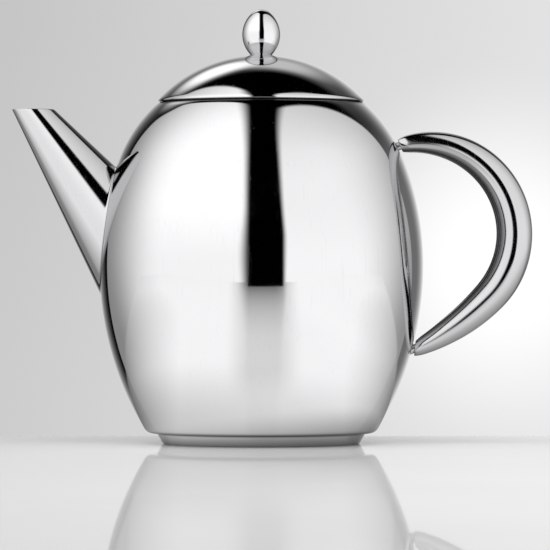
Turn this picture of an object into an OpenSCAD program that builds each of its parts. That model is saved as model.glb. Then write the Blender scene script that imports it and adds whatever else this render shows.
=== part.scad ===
// Teapot: a double-walled steel egg with a straight spout, a hollow bow handle, a lift-off domed lid
// and a lift-out tea basket. Sizes are in millimetres. +Z is up and the origin is on the body's axis,
// level with the table. The spout points along -X and the handle along +X.

/* [Body] */
// Greatest diameter of the egg-shaped body
body_d = 130; // [122:1:138]
// Height of the widest point above the table
waist_z = 71.4; // [66:0.2:76]
// Radius of the side's curve below the waist
lower_side_r = 127.5; // [118:0.5:140]
// Radius of the side's curve above the waist
upper_side_r = 117.5; // [108:0.5:128]
// Angle at which the side's curve passes into the shoulder's
shoulder_angle = 22; // [18:0.5:26]
// Radius of the shoulder's curve
shoulder_r = 57; // [52:0.5:62]
// Rounding between the side and the bottom
heel_r = 4; // [2:0.5:6]
// Diameter of the mouth's outer edge
mouth_d = 82; // [76:0.5:86]
// Width of the level seat round the mouth
seat_w = 4.2; // [3.4:0.1:5]
// Thickness of the polished steel sheet
wall = 0.8; // [0.5:0.1:1.1]

/* [Liner] */
// Air gap between the outer shell and the liner's side
air_gap = 3.6; // [2.4:0.2:5]
// Air gap between the outer shell's bottom and the liner's floor
floor_gap = 4; // [2:0.5:7]
// Rounding between the liner's side and floor
liner_heel_r = 12; // [6:0.5:16]

/* [Foot] */
// Height of the foot under the body
foot_h = 4.2; // [3:0.1:6]
// Diameter of the foot where it meets the body
foot_d = 83.8; // [76:0.2:86]
// Lean of the foot's side, inwards towards the table
foot_taper = 28; // [10:1:35]
// Rounding of the foot's lower edge
foot_round = 1.4; // [1.2:0.1:1.8]
// Diameter of the hollow under the foot
recess_d = 73; // [60:1:73]
// Depth of the hollow under the foot
recess_h = 1.6; // [0.8:0.1:2]

/* [Spout] */
// Distance of the spout's mouth from the body's axis
spout_reach = 93.1; // [88:0.1:100]
// Height of the spout's level mouth
spout_z = 134.3; // [126:0.1:140]
// Lean of the spout from upright
spout_lean = 36.4; // [33:0.2:40]
// Radius of the spout across its axis, at its mouth
spout_tip_r = 6.8; // [5:0.1:8]
// Angle by which the spout widens on each side
spout_flare = 10.7; // [8:0.1:12]
// Diameter of the sleeve that leads from the liner into the spout
sleeve_d = 19; // [14:0.5:20]

/* [Handle] */
// Radius of the bow's centre line
bow_r = 36.5; // [33:0.5:40]
// Height of the bow's centre above the waist
bow_rise = 12.7; // [8:0.1:16]
// Angle at which the bow passes into its flatter tail
tail_angle = -42.5; // [-50:0.5:-36]
// Radius of the tail's centre line
tail_r = 86; // [70:1:120]
// Thickness of the handle at its fullest point
handle_t = 14.4; // [11:0.2:17]
// Thickness of the handle at its ends
handle_end_t = 6.2; // [6:0.1:8]
// Where the handle is fullest, as a share of its length
handle_full_at = 0.55; // [0.45:0.01:0.65]
// Power by which the handle thins towards its ends
handle_thinning = 2.35; // [1.8:0.05:3]
// Length of the rounding at the handle's ends
handle_round = 3.5; // [2:0.5:5]
// Thickness of the handle's sheet
handle_wall = 0.8; // [0.5:0.1:1]
// Gap between the handle's ends and the body
handle_gap = 1; // [0.6:0.1:2]
// Share by which the handle's end faces turn to lie along the body
end_turn = 0.7; // [0.6:0.05:1]
// Length over which the end faces turn
end_turn_l = 14; // [10:1:20]
// Diameter of the studs that carry the handle
stud_d = 3.4; // [3:0.2:4.4]
// Depth of the studs inside the handle
stud_depth = 6.5; // [4:0.5:8]

/* [Lid] */
// Radius of the lid's dome
dome_r = 56.6; // [52:0.2:64]
// Height of the upright hem round the lid
hem_h = 0.9; // [0.5:0.1:1.4]
// How far the hem overhangs the body's mouth
lid_overhang = 0.4; // [0:0.1:0.6]
// Depth of the lid's plug below the mouth
plug_depth = 7; // [4:0.5:12]
// Rounding of the plug's lower edge
plug_round = 3; // [1.5:0.5:4]
// Gap between the plug and the tea basket's collar
plug_gap = 0.7; // [0.4:0.1:1.2]

/* [Knob] */
// Greatest diameter of the egg-shaped knob
knob_d = 15.4; // [13:0.1:18]
// Height of the whole oval that the knob is cut from
knob_oval_h = 20.3; // [18:0.1:24]
// Radius of the oval's ends
knob_end_r = 5.6; // [4.4:0.1:6]
// Depth to which the oval is cut by the lid's dome
knob_sink = 2; // [1:0.1:2.4]
// Diameter of the knob's screw
screw_d = 4; // [3:0.5:5]
// Length of the screw in the knob
screw_grip = 8; // [5:0.5:10]
// Diameter of the screw's head
screw_head_d = 7; // [6:0.5:9]
// Height of the screw's head
screw_head_h = 2.4; // [1.6:0.2:3]
// Diameter of the washer under the dome
washer_d = 12; // [10:0.5:15]
// Thickness of the washer
washer_t = 1; // [0.6:0.1:1.5]
// Gap round the screw in the knob, dome and washer
screw_gap = 0.1; // [0.05:0.05:0.2]

/* [Tea basket] */
// Depth of the basket below the mouth
basket_depth = 66; // [54:1:78]
// Thickness of the basket's sheet
basket_wall = 0.6; // [0.4:0.1:0.8]
// Gap between the basket and the neck
basket_gap = 1; // [0.6:0.1:1.6]
// Thickness of the basket's rim
rim_t = 0.8; // [0.5:0.1:1.2]
// Gap between the basket's rim and the lid, over it and round it
rim_gap = 0.4; // [0.3:0.1:0.6]
// Depth of the rim's collar inside the basket
collar_h = 9; // [5:0.5:12]
// Height of the floor's turned-up edge
floor_lip_h = 4; // [2:0.5:6]
// Diameter of the holes
hole_d = 3; // [1.6:0.1:3.4]
// Holes in one row round the basket
holes_round = 20; // [12:2:24]
// Distance between rows of holes
hole_pitch = 6.5; // [5:0.1:9]
// Distance between rings of holes in the floor
ring_pitch = 6; // [5.6:0.1:8]
// Holes in the floor's innermost ring
first_ring_holes = 6; // [4:1:6]

/* [Hidden] */
$fn = 120;

steel = "#d5d7d9";
brushed = "#b9bcbf";
body_r = body_d / 2;
mouth_r = mouth_d / 2;
// How far a cut reaches past the face that it opens
past = 1;

// Centres of the three arcs that draw the egg's side
low_cx = body_r - lower_side_r;
up_cx = body_r - upper_side_r;
shoulder_cx = up_cx + (upper_side_r - shoulder_r) * cos(shoulder_angle);
shoulder_cz = waist_z + (upper_side_r - shoulder_r) * sin(shoulder_angle);

// How far the egg's smaller arcs lap over the larger ones that they pass into
lap = 0.002;
// Heights at which pieces meet are kept to a thousandth of a millimetre
function level(z) = round(z * 1000) / 1000;
// Height at which the shoulder, set in by inset, comes in to radius r
function shoulder_top(inset, r) =
    level(shoulder_cz + sqrt(pow(shoulder_r - inset, 2) - pow(r - shoulder_cx, 2)));

mouth_z = shoulder_top(0, mouth_r);
neck_outer_r = mouth_r - seat_w;
neck_r = neck_outer_r - wall;
liner_inset = wall + air_gap;
liner_z = foot_h + wall + floor_gap;

// The spout's axis runs down from its mouth and ends well inside the body, which cuts its root
spout_root_in = 38;
spout_len = (spout_reach - body_r + spout_root_in) / sin(spout_lean);
// The cone is drawn past its mouth, which is then cut level
spout_over = 2 * spout_tip_r * tan(spout_lean);
sleeve_r = sleeve_d / 2;

// The handle's centre line: a bow about bow_c, then a flatter tail about tail_c, each up to the body
bow_c = [body_r, waist_z + bow_rise];
tail_c = bow_c + (bow_r - tail_r) * [cos(tail_angle), sin(tail_angle)];
to_shoulder = [shoulder_cx, shoulder_cz] - bow_c;
to_side = [low_cx, waist_z] - tail_c;
// Angle, at the centre of a curve of radius r, from the line to another centre to the point at reach from it
function turn_to(r, line, reach) = acos((r * r + line * line - reach * reach) / (2 * r * norm(line)));
top_angle = atan2(to_shoulder[1], to_shoulder[0]) - turn_to(bow_r, to_shoulder, shoulder_r + handle_gap);
end_angle = atan2(to_side[1], to_side[0]) + turn_to(tail_r, to_side, lower_side_r + handle_gap);
bow_len = bow_r * (top_angle - tail_angle) * PI / 180;
tail_len = tail_r * (tail_angle - end_angle) * PI / 180;
handle_len = bow_len + tail_len;
stud_r = stud_d / 2;

// Rings along the handle, close together in the rounded ends, and points round half a ring
end_rings = 4;
mid_rings = 30;
half_sides = 10;
end_steps = [for (k = [0:end_rings]) handle_round * (1 - cos(90 * k / end_rings))];
mid_step = (handle_len - 2 * handle_round) / mid_rings;
ring_at = concat(
    end_steps,
    [for (k = [1:mid_rings - 1]) handle_round + k * mid_step],
    [for (k = [0:end_rings]) handle_len - end_steps[end_rings - k]]);
rings = len(ring_at);
ring_points = half_sides + 1;
tip_half = stud_r / cos(90 / half_sides) + handle_wall;

function line_angle(s) = s < bow_len
    ? top_angle - s / bow_r * 180 / PI
    : tail_angle - (s - bow_len) / tail_r * 180 / PI;
function centre_line(s) =
    let (out = [cos(line_angle(s)), sin(line_angle(s))])
    s < bow_len ? bow_c + bow_r * out : tail_c + tail_r * out;
function from_full(u) = u < handle_full_at
    ? 1 - u / handle_full_at
    : (u - handle_full_at) / (1 - handle_full_at);
function thinned(s) = pow(from_full(s / handle_len), handle_thinning);
function swell(s) = (handle_t - (handle_t - handle_end_t) * thinned(s)) / 2;
function end_share(s) = min(s, handle_len - s, handle_round) / handle_round;
function handle_half(s) = tip_half + (swell(s) - tip_half) * sqrt(1 - pow(1 - end_share(s), 2));
// Slope that turns a section at angle a to lie along a body face with outward direction out
function lie_along(a, out) = -end_turn * ([cos(a), sin(a)] * out) / ([sin(a), -cos(a)] * out);
top_slope = lie_along(top_angle, centre_line(0) - [shoulder_cx, shoulder_cz]);
tail_slope = lie_along(end_angle, centre_line(handle_len) - [low_cx, waist_z]);
function end_slope(s) = top_slope * max(0, 1 - s / end_turn_l)
    + tail_slope * max(0, 1 - (handle_len - s) / end_turn_l);
function ring(s, half) = [for (j = [0:half_sides])
    let (turn = 180 * j / half_sides, a = line_angle(s), slope = end_slope(s),
         p = centre_line(s) + half * cos(turn) * [cos(a) + slope * sin(a), sin(a) - slope * cos(a)])
    [p[0], half * sin(turn), p[1]]];
function two(a, b, c, d) = [[a, b, c], [a, c, d]];

// The lid rests on the seat; its dome's centre follows from its hem
lid_r = mouth_r + lid_overhang;
hem_z = mouth_z + hem_h;
dome_cz = hem_z - sqrt(pow(dome_r, 2) - pow(lid_r, 2));
dome_top = dome_cz + dome_r;
washer_z = dome_cz + sqrt(pow(dome_r - wall, 2) - pow(washer_d / 2, 2)) - washer_t;
screw_r = screw_d / 2;
screw_hole_r = screw_r + screw_gap;
lid_flange_z = mouth_z + rim_t + rim_gap;

// The knob's oval: two end circles joined by side arcs
knob_r = knob_d / 2;
knob_cz = dome_top - knob_sink + knob_oval_h / 2;
knob_end_c = knob_oval_h / 2 - knob_end_r;
knob_side_r = (pow(knob_end_c, 2) + pow(knob_r, 2) - pow(knob_end_r, 2)) / (2 * (knob_r - knob_end_r));
knob_join_z = knob_side_r * knob_end_c / (knob_side_r - knob_end_r);

// The basket hangs by its rim on the seat, inside the neck
basket_r = neck_r - basket_gap;
basket_in_r = basket_r - basket_wall;
collar_in_r = basket_in_r - basket_wall;
rim_r = lid_r - wall - rim_gap;
basket_z = mouth_z - basket_depth;
plug_r = collar_in_r - plug_gap;
hole_sides = 8;
hole_rows = floor((basket_depth - collar_h - floor_lip_h - hole_pitch) / hole_pitch);
floor_rings = floor((basket_in_r - basket_wall - hole_d) / ring_pitch);

// Outlines on the right of the axis, for turning

module band(z_low, z_high) {
    translate([0, z_low]) square([body_r, z_high - z_low]);
}

// The egg, set in from its outer face, with a flat bottom at base_z and a flat top at top_z
module egg(inset, base_z, heel, top_z) {
    low_r = lower_side_r - inset;
    heel_z = base_z + heel;
    heel_x = low_cx + sqrt(pow(low_r - heel, 2) - pow(waist_z - heel_z, 2));
    heel_top = waist_z - low_r * (waist_z - heel_z) / (low_r - heel);
    shoulder_z = waist_z + (upper_side_r - inset) * sin(shoulder_angle);
    translate([0, base_z]) square([heel_x, waist_z - base_z]);
    intersection() {
        translate([heel_x, heel_z]) circle(heel + lap);
        band(base_z, waist_z);
    }
    intersection() {
        translate([low_cx, waist_z]) circle(low_r);
        band(heel_top, waist_z);
    }
    intersection() {
        translate([up_cx, waist_z]) circle(upper_side_r - inset);
        band(waist_z, shoulder_z);
    }
    intersection() {
        translate([shoulder_cx, shoulder_cz]) circle(shoulder_r - inset + lap);
        band(waist_z, top_z);
    }
}

module outer_egg() {
    egg(0, foot_h, heel_r, mouth_z);
}

// The liner's outline with its neck, filled, set in by inset from the liner's outer face
module liner_fill(inset, top_z) {
    r = neck_outer_r - inset;
    depth = liner_inset + inset;
    egg(depth, liner_z + inset, liner_heel_r - inset, shoulder_top(depth, r - past));
    translate([0, waist_z]) square([r, top_z - waist_z]);
}

// The foot, filled, set in from its outer face; its side leans in to a rounded lower edge
module foot_fill(inset) {
    round_x = foot_d / 2 - (foot_round + (foot_h - foot_round) * sin(foot_taper)) / cos(foot_taper);
    edge_r = foot_round - inset;
    lean = [cos(foot_taper), -sin(foot_taper)];
    translate([round_x, foot_round]) circle(edge_r);
    polygon([
        [0, inset],
        [round_x, inset],
        [round_x, foot_round] + edge_r * lean,
        [foot_d / 2 - inset / cos(foot_taper), foot_h],
        [0, foot_h]]);
}

// The hollow pressed up into the foot, with a side at 45 degrees
module recess_fill(lift) {
    edge_r = recess_d / 2 + lift;
    polygon([
        [0, -past],
        [edge_r, -past],
        [edge_r, 0],
        [edge_r - recess_h, recess_h + lift],
        [0, recess_h + lift]]);
}

// The lid's dome and hem, filled, set in from the outer face
module lid_fill(inset) {
    intersection() {
        translate([0, dome_cz]) circle(dome_r - inset);
        translate([0, hem_z]) square([lid_r, dome_r]);
    }
    translate([0, mouth_z]) square([lid_r - inset, hem_h]);
}

// The lid's plug, filled, with a rounded lower edge
module plug_fill(inset) {
    bottom = mouth_z - plug_depth + inset;
    r = plug_r - inset;
    edge = plug_round - inset;
    translate([0, bottom]) square([r - edge, plug_round]);
    translate([0, bottom + edge]) square([r, lid_flange_z + wall - bottom - edge]);
    intersection() {
        translate([r - edge, bottom + edge]) circle(edge);
        translate([0, bottom]) square([r, edge]);
    }
}

// Turns +Z to run down the spout's axis, from the middle of its mouth
module along_spout() {
    translate([-spout_reach, 0, spout_z]) rotate([0, 180 - spout_lean, 0]) children();
}

// A straight cone along the spout's axis, its side set in by inset, drawn past the mouth
module spout_cone(inset) {
    side = inset / cos(spout_flare);
    low_r = spout_tip_r + spout_len * tan(spout_flare) - side;
    high_r = spout_tip_r - spout_over * tan(spout_flare) - side;
    along_spout()
        translate([0, 0, -spout_over])
            cylinder(h = spout_len + spout_over, r1 = high_r, r2 = low_r);
}

// A round bar along the spout's axis, through both walls of the body
module sleeve_bar(r) {
    along_spout() cylinder(h = spout_len, r = r);
}

// One half of the hollow handle, on the side of +Y, swept along the centre line
module handle_half_shell() {
    outer = [for (s = ring_at) each ring(s, handle_half(s))];
    inner = [for (s = ring_at) each ring(s, handle_half(s) - handle_wall)];
    skin = rings * ring_points;
    last = (rings - 1) * ring_points;
    sides = [for (i = [0:rings - 2], j = [0:half_sides - 1])
        let (a = i * ring_points + j, b = a + ring_points)
        each concat(
            two(a, a + 1, b + 1, b),
            two(skin + a, skin + b, skin + b + 1, skin + a + 1))];
    seams = [for (i = [0:rings - 2])
        let (a = i * ring_points, b = a + ring_points, c = a + half_sides, d = b + half_sides)
        each concat(
            two(a, b, skin + b, skin + a),
            two(skin + c, skin + d, d, c))];
    ends = [for (j = [0:half_sides - 1])
        each concat(
            two(j, skin + j, skin + j + 1, j + 1),
            two(last + j, last + j + 1, skin + last + j + 1, skin + last + j))];
    polyhedron(points = concat(outer, inner), faces = concat(sides, seams, ends));
}

// A stud from inside the handle's end to the body's outer face, along direction dir
module stud(from, dir) {
    reach = stud_depth + handle_gap + stud_d;
    difference() {
        translate([from[0], 0, from[1]])
            rotate([0, atan2(dir[0], dir[1]), 0])
                translate([0, 0, -stud_depth])
                    cylinder(h = reach, r = stud_r);
        rotate_extrude() outer_egg();
    }
}

// A row of holes round the basket's side
module side_holes(z, turn) {
    for (k = [0:holes_round - 1])
        rotate([0, 0, turn + 360 * k / holes_round])
            translate([basket_in_r - past, 0, z])
                rotate([0, 90, 0])
                    cylinder(h = basket_wall + 2 * past, d = hole_d, $fn = hole_sides);
}

// Sub-parts

module outer_shell() {
    color(steel) difference() {
        rotate_extrude() difference() {
            outer_egg();
            egg(wall, foot_h + wall, heel_r - wall, mouth_z - wall);
            translate([0, mouth_z - wall - past]) square([neck_outer_r, wall + 2 * past]);
            translate([0, foot_h - past]) square([recess_d / 2, wall + 2 * past]);
        }
        sleeve_bar(sleeve_r);
    }
}

module inner_liner() {
    color(brushed) difference() {
        rotate_extrude() difference() {
            liner_fill(0, mouth_z);
            liner_fill(wall, mouth_z + past);
        }
        sleeve_bar(sleeve_r - wall);
    }
}

module base_cap() {
    color(steel) rotate_extrude() difference() {
        foot_fill(0);
        difference() {
            foot_fill(wall);
            recess_fill(wall);
        }
        recess_fill(0);
    }
}

module spout() {
    color(steel) difference() {
        spout_cone(0);
        spout_cone(wall);
        translate([-spout_reach, 0, spout_z + spout_over])
            cube([body_d, body_d, 2 * spout_over], center = true);
        rotate_extrude() outer_egg();
    }
}

module spout_sleeve() {
    color(brushed) intersection() {
        difference() {
            sleeve_bar(sleeve_r);
            sleeve_bar(sleeve_r - wall);
            rotate_extrude() liner_fill(0, mouth_z);
        }
        rotate_extrude() outer_egg();
    }
}

module handle_near_half() {
    color(steel) mirror([0, 1, 0]) handle_half_shell();
}

module handle_far_half() {
    color(steel) handle_half_shell();
}

module handle_upper_stud() {
    color(brushed) stud(centre_line(0), [-sin(top_angle), cos(top_angle)]);
}

module handle_lower_stud() {
    color(brushed) stud(centre_line(handle_len), [sin(end_angle), -cos(end_angle)]);
}

module lid_dome() {
    color(steel) rotate_extrude() difference() {
        lid_fill(0);
        lid_fill(wall);
        translate([0, mouth_z - past]) square([lid_r - wall, hem_h + past]);
        translate([0, mouth_z]) square([screw_hole_r, dome_r]);
    }
}

module lid_liner() {
    color(brushed) rotate_extrude() difference() {
        union() {
            plug_fill(0);
            intersection() {
                lid_fill(wall);
                translate([0, lid_flange_z]) square([lid_r, wall]);
            }
        }
        plug_fill(wall);
        translate([0, lid_flange_z]) square([plug_r - wall, wall + past]);
    }
}

module knob() {
    color(steel) rotate_extrude() difference() {
        translate([0, knob_cz]) {
            for (end = [-1, 1]) intersection() {
                translate([0, end * knob_end_c]) circle(knob_end_r);
                translate([0, -knob_oval_h]) square([knob_r, 2 * knob_oval_h]);
            }
            intersection() {
                translate([knob_r - knob_side_r, 0]) circle(knob_side_r);
                translate([0, -knob_join_z]) square([knob_r, 2 * knob_join_z]);
            }
        }
        translate([0, dome_cz]) circle(dome_r);
        translate([0, dome_top - past]) square([screw_hole_r, screw_grip + past + screw_gap]);
    }
}

module knob_screw() {
    color(brushed) translate([0, 0, washer_z - screw_head_h]) {
        cylinder(h = screw_head_h, d = screw_head_d);
        cylinder(h = dome_top + screw_grip - washer_z + screw_head_h, r = screw_r);
    }
}

module knob_washer() {
    color(brushed) rotate_extrude()
        translate([screw_hole_r, washer_z]) square([washer_d / 2 - screw_hole_r, washer_t]);
}

module infuser_rim() {
    color(brushed) rotate_extrude() {
        translate([collar_in_r, mouth_z]) square([rim_r - collar_in_r, rim_t]);
        translate([collar_in_r, mouth_z - collar_h]) square([basket_wall, collar_h]);
    }
}

module infuser_wall() {
    color(brushed) difference() {
        rotate_extrude() translate([basket_in_r, basket_z]) square([basket_wall, basket_depth]);
        for (row = [1:hole_rows])
            side_holes(basket_z + floor_lip_h + row * hole_pitch, row % 2 * 180 / holes_round);
    }
}

module infuser_floor() {
    color(brushed) difference() {
        rotate_extrude() translate([0, basket_z]) difference() {
            square([basket_in_r, floor_lip_h]);
            translate([0, basket_wall]) square([basket_in_r - basket_wall, floor_lip_h]);
        }
        for (ring_no = [1:floor_rings], k = [0:first_ring_holes * ring_no - 1])
            rotate([0, 0, 360 * k / (first_ring_holes * ring_no)])
                translate([ring_no * ring_pitch, 0, basket_z - past])
                    cylinder(h = basket_wall + 2 * past, d = hole_d, $fn = hole_sides);
    }
}

outer_shell();
inner_liner();
base_cap();
spout();
spout_sleeve();
handle_near_half();
handle_far_half();
handle_upper_stud();
handle_lower_stud();
lid_dome();
lid_liner();
knob();
knob_screw();
knob_washer();
infuser_rim();
infuser_wall();
infuser_floor();
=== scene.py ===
from math import acos, asin, atan2, cos, degrees, hypot, pi, radians, sin, sqrt, tan

import bmesh
import bpy
import numpy as np
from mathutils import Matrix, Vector
from mathutils.geometry import delaunay_2d_cdt


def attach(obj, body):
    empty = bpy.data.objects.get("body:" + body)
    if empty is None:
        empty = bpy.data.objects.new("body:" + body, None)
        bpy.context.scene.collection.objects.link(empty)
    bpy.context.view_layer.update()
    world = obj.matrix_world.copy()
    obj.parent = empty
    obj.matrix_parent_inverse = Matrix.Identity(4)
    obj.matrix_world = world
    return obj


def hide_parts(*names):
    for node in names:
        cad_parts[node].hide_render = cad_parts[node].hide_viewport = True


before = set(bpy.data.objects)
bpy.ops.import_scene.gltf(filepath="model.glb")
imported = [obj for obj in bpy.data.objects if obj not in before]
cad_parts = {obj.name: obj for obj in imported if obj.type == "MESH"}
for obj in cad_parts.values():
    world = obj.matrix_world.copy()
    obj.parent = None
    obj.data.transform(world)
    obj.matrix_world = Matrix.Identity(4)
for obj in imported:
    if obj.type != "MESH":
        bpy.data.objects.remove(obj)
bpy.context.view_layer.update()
print("frame loaded:", len(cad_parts), "nodes")

scene = bpy.context.scene
scene.view_settings.view_transform = "Standard"
mm = 0.001  # every size below is in millimetres and becomes metres in the mesh


# camera: level, far away, and a few degrees round towards the handle
shot = {
    "azimuth": 2.5,
    "distance": 1657.0,
    "height": 67.6,
    "aside": 5.5,  # the pot stands a little left of the picture's middle
    "lens": 270.0,
    "sensor": 36.0,
    "sight": 20.0,  # metres
}
turn = radians(shot["azimuth"])
rightDir = Vector((cos(turn), sin(turn), 0))
towardDir = Vector((sin(turn), -cos(turn), 0))
upDir = Vector((0, 0, 1))
cameraData = bpy.data.cameras.new("shotCamera")
cameraData.lens = shot["lens"]
cameraData.sensor_width = shot["sensor"]
cameraData.clip_end = shot["sight"]
camera = bpy.data.objects.new("shotCamera", cameraData)
camera.location = (towardDir * shot["distance"] + rightDir * shot["aside"] + upDir * shot["height"]) * mm
camera.rotation_euler = (radians(90), 0, turn)
scene.collection.objects.link(camera)
scene.camera = camera
print("camera placed")


# node helpers
def feed(tree, socket, value):
    if isinstance(value, bpy.types.NodeSocket):
        tree.links.new(value, socket)
    elif value is not None:
        socket.default_value = value


def addNode(tree, kind, settings=None, **inputs):
    node = tree.nodes.new("ShaderNode" + kind)
    for key, value in (settings or {}).items():
        setattr(node, key, value)
    for key, value in inputs.items():
        feed(tree, node.inputs[key], value)
    return node


def calc(tree, operation, *values):
    node = addNode(tree, "Math", {"operation": operation})
    for socket, value in zip(node.inputs, values):
        feed(tree, socket, value)
    return node.outputs[0]


def ease(tree, value, low, high, toLow=0.0, toHigh=1.0, shape="SMOOTHSTEP"):
    node = addNode(tree, "MapRange", {"interpolation_type": shape})
    for socket, item in zip(node.inputs, (value, low, high, toLow, toHigh)):
        feed(tree, socket, item)
    return node.outputs[0]


def easeMm(tree, value, low, high, *rest):
    return ease(tree, value, low * mm, high * mm, *rest)


def vector(tree, operation, first, second=None):
    node = addNode(tree, "VectorMath", {"operation": operation})
    feed(tree, node.inputs[0], first)
    feed(tree, node.inputs["Scale" if operation == "SCALE" else 1], second)
    return node.outputs["Value" if operation in ("DOT_PRODUCT", "DISTANCE") else "Vector"]


def along(tree, direction, axis):
    return vector(tree, "DOT_PRODUCT", direction, axis)


def product(tree, *values):
    total = values[0]
    for value in values[1:]:
        total = calc(tree, "MULTIPLY", total, value)
    return total


def curve(tree, x, a, b, c):
    inner = calc(tree, "MULTIPLY_ADD", x, c, b)
    return calc(tree, "MULTIPLY_ADD", x, inner, a)


# studio: a tall white panel on each side of the camera that leans over the pot, a dark slot between
# them for the camera, and a pale backdrop behind with a lamp high on its left. across and ahead are
# a direction's place on a flat map of the sky with the zenith in its middle and the horizon at 1;
# groups of four are the limits of a change and the values at them
studio = {
    "strength": 1.05,  # of the lamps, as polished metal sees them
    "second": 0.64,  # the share of it in a second reflection
    # a slot's edge is a curve overhead, then upright at a distance aside; soft width and tones are
    # given at the horizon and high up
    "left": {
        "side": -1.0, "slot": (-0.055, -0.02, -0.09), "upright": -0.145, "soft": (0.15, 0.06),
        "tones": ((0.3, -0.85, 1.03, 0.26), (0.19, -0.61, 1.17, 0.33)),
    },
    "right": {
        "side": 1.0, "slot": (0.072, 0.0, 0.24), "upright": 0.262, "soft": (0.06, 0.045),
        "tones": ((0.35, -0.85, 1.05, 0.31), (0.35, -0.85, 1.0, 0.3)),
    },
    "softRise": (0.0, 0.45), "toneRise": (0.0, 0.4), "slotEdge": -0.01, "backEdge": (-0.01, 0.03),
    "leftBack": 1.3, "leftStep": (0.48, 0.64, 0.0, 0.04), "rightBack": (0.06, -0.8, -0.444),
    "overhead": (0.45, 1.0, 1.0, 0.84), "leastDepth": 0.05,
    # the backdrop as the metal sees it, its lamps with their places (right, toward, up)
    "backdrop": 0.79, "leftFade": (-0.58, 0.0), "leftPower": 1.4,
    "rightFade": (0.1, 0.6, 1.0, 0.2), "upFade": (0.1, 0.6, 1.0, 0.2), "topEdge": (-0.255, -0.38),
    "lamp": ((-0.247, -0.724, 0.645), (0.07, 0.29, 1.12, 0.0)),
    "patch": ((0.08, -0.72, 0.65), (0.08, 0.33, 0.4, 0.0)),
    # the backdrop straight behind the pot: grey at the left, and glowing behind the handle
    "slope": (-0.065, 0.065, 0.56, 0.76), "lower": (0.06, -0.03, 0.0, 0.05),
    "halo": ((0.052, -1.0, 0.004), (0.005, 0.05, 0.26, 0.0)),
    "straight": ((0.0, -1.0, 0.03), (0.22, 0.06)),
}


def buildStudio():
    world = bpy.data.worlds.new("studio")
    scene.world = world
    world.use_nodes = True
    tree = world.node_tree
    tree.nodes.clear()
    direction = addNode(tree, "TexCoord").outputs["Generated"]
    right = along(tree, direction, rightDir)
    toward = along(tree, direction, towardDir)
    up = along(tree, direction, upDir)
    depth = calc(tree, "MAXIMUM", calc(tree, "ADD", up, 1.0), studio["leastDepth"])
    across = calc(tree, "DIVIDE", right, depth)
    ahead = calc(tree, "DIVIDE", toward, depth)
    front = calc(tree, "MAXIMUM", ahead, 0.0)

    def spot(where, fade):
        aside, near, above = where
        middle = rightDir * aside + towardDir * near + upDir * above
        return ease(tree, vector(tree, "DISTANCE", direction, middle), *fade)

    def panel(values, back):
        # it dims from the camera to its far end
        bent = calc(tree, "SUBTRACT", across, curve(tree, front, *values["slot"]))
        upright = calc(tree, "SUBTRACT", across, calc(tree, "DIVIDE", values["upright"], depth))
        inner = calc(tree, "MAXIMUM", product(tree, bent, values["side"]),
                     product(tree, upright, values["side"]))
        soft = ease(tree, up, *studio["softRise"], *values["soft"])
        tones = [ease(tree, up, *studio["toneRise"], *pair) for pair in zip(*values["tones"])]
        beyond = calc(tree, "SUBTRACT", ahead, back)
        return product(tree, ease(tree, inner, studio["slotEdge"], soft),
                       ease(tree, beyond, *studio["backEdge"]), ease(tree, ahead, *tones))

    leftBack = calc(tree, "MULTIPLY_ADD", across, studio["leftBack"], ease(tree, up, *studio["leftStep"]))
    left = panel(studio["left"], leftBack)
    rightPanel = panel(studio["right"], curve(tree, across, *studio["rightBack"]))
    rightPanel = product(tree, rightPanel, ease(tree, up, *studio["overhead"]))

    # backdrop: brightest low in the middle, fading to both sides and upwards, dark above its top edge
    low = calc(tree, "POWER", ease(tree, right, *studio["leftFade"], shape="LINEAR"), studio["leftPower"])
    low = product(tree, low, studio["backdrop"], ease(tree, right, *studio["rightFade"]),
                  ease(tree, up, *studio["upFade"]))
    lamps = calc(tree, "ADD", spot(*studio["lamp"]), spot(*studio["patch"]))
    back = product(tree, calc(tree, "ADD", low, lamps), ease(tree, ahead, *studio["topEdge"]))
    room = calc(tree, "MAXIMUM", calc(tree, "MAXIMUM", left, rightPanel), back)
    lightPath = addNode(tree, "LightPath").outputs
    # polished metal sees the lamps at full strength, dull surfaces and second reflections a part of it
    room = product(tree, room, ease(tree, lightPath["Is Diffuse Ray"], 0.0, 1.0, studio["strength"], 1.0),
                   ease(tree, lightPath["Glossy Depth"], 1.0, 2.0, 1.0, studio["second"]))

    slope = ease(tree, right, *studio["slope"], "LINEAR")
    lower = ease(tree, up, *studio["lower"], "LINEAR")
    seen = calc(tree, "ADD", calc(tree, "ADD", slope, lower), spot(*studio["halo"]))
    tone = addNode(tree, "Mix", {"data_type": "FLOAT"})
    feed(tree, tone.inputs[0], calc(tree, "MAXIMUM", lightPath["Is Camera Ray"], spot(*studio["straight"])))
    feed(tree, tone.inputs[2], room)
    feed(tree, tone.inputs[3], seen)
    background = addNode(tree, "Background", Color=tone.outputs[0])
    addNode(tree, "OutputWorld", Surface=background.outputs[0])


buildStudio()
print("studio lit")


# mesh helpers
crease = 28  # degrees; a sharper bend is shaded as an edge


def addMesh(name, verts, faces, sharp=crease):
    mesh = bpy.data.meshes.new(name)
    mesh.from_pydata([tuple(v) for v in np.asarray(verts, float) * mm], [], faces)
    work = bmesh.new()
    work.from_mesh(mesh)
    bmesh.ops.remove_doubles(work, verts=work.verts, dist=1e-7)
    bmesh.ops.recalc_face_normals(work, faces=work.faces)
    work.to_mesh(mesh)
    work.free()
    mesh.polygons.foreach_set("use_smooth", [True] * len(mesh.polygons))
    mesh.set_sharp_from_angle(angle=radians(sharp))
    piece = bpy.data.objects.new(name, mesh)
    scene.collection.objects.link(piece)
    return piece


def arc(cx, cz, r, start, end, count):
    steps = np.radians(np.linspace(start, end, count))
    return [(cx + r * cos(a), cz + r * sin(a)) for a in steps]


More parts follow.
